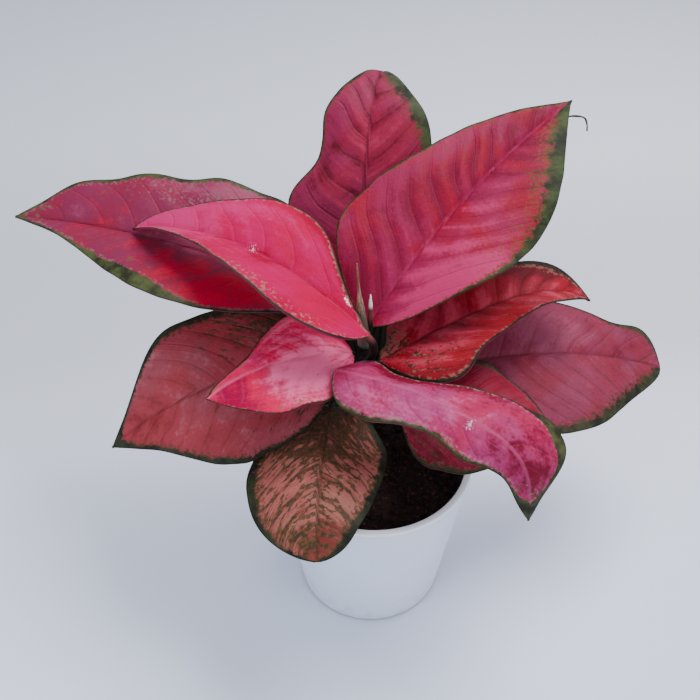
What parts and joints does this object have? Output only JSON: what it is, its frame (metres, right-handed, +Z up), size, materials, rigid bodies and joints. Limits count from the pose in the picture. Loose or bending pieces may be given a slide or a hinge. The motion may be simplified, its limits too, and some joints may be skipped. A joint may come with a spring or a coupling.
{
  "type": "potted chinese evergreen",
  "caption": "Bushy house plant with broad pink and red, green-edged leaves on a short cane, in a soil-filled plain round white nursery pot.",
  "frame": {"origin": "middle of the pot's underside, on the floor", "axes": "+Z up, +X to the viewer's right, -Y to the front, where the blunt mottled leaf hangs over the rim"},
  "size_m": [0.3687, 0.2435, 0.2516],
  "materials": {
    "white_pot_plastic": "smooth moulded white plastic with a soft sheen",
    "dark_potting_soil": "moist, crumbly, almost black potting mix",
    "pale_green_stem": "fleshy, pale green to cream, slightly waxy stem",
    "cream_new_leaf": "waxy cream leaf rolled to a point",
    "pink_leaf": "waxy hot pink blade with a thin green margin",
    "red_leaf": "waxy rose to deep red blade with a mottled green margin",
    "salmon_leaf": "waxy, duller salmon blade with dark green mottling"
  },
  "bodies": {
    "root": {"pot": "white_pot_plastic", "soil": "dark_potting_soil", "cane_and_petioles": "pale_green_stem", "rolled_new_leaf": "cream_new_leaf", "leaf_back": "red_leaf", "leaf_upper_right": "red_leaf", "leaf_upper_left": "pink_leaf", "leaf_far_left": "red_leaf", "leaf_lower_left": "salmon_leaf", "leaf_small_left": "pink_leaf", "leaf_front": "salmon_leaf", "leaf_arching_right": "pink_leaf", "leaf_middle_right": "red_leaf", "leaf_far_right": "red_leaf", "leaf_lower_right": "red_leaf"}
  },
  "joints": []
}
